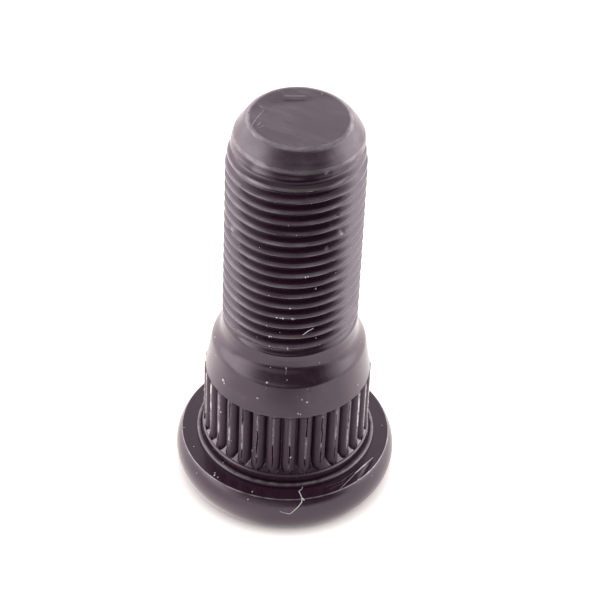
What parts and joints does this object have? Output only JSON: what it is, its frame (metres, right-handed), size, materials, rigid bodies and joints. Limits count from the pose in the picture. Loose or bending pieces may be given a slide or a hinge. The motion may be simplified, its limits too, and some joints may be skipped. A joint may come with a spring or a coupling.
{
  "type": "wheel stud",
  "caption": "Press-in wheel stud: round head with a flat seat, straight splined shank, tapered shoulder and a fine metric thread with a chamfered tip, in black-finished steel.",
  "frame": {"origin": "centre of the head's flat underside, where the stud stands", "axes": "+Z along the stud's axis, from the head to the threaded tip; X and Y lie in the head's plane"},
  "size_m": [0.0266, 0.0266, 0.0523],
  "materials": {
    "black_steel": "satin oiled black finish on forged and rolled steel, worn lighter at the edges"
  },
  "bodies": {
    "root": {"wheel_stud": "black_steel"}
  },
  "joints": []
}
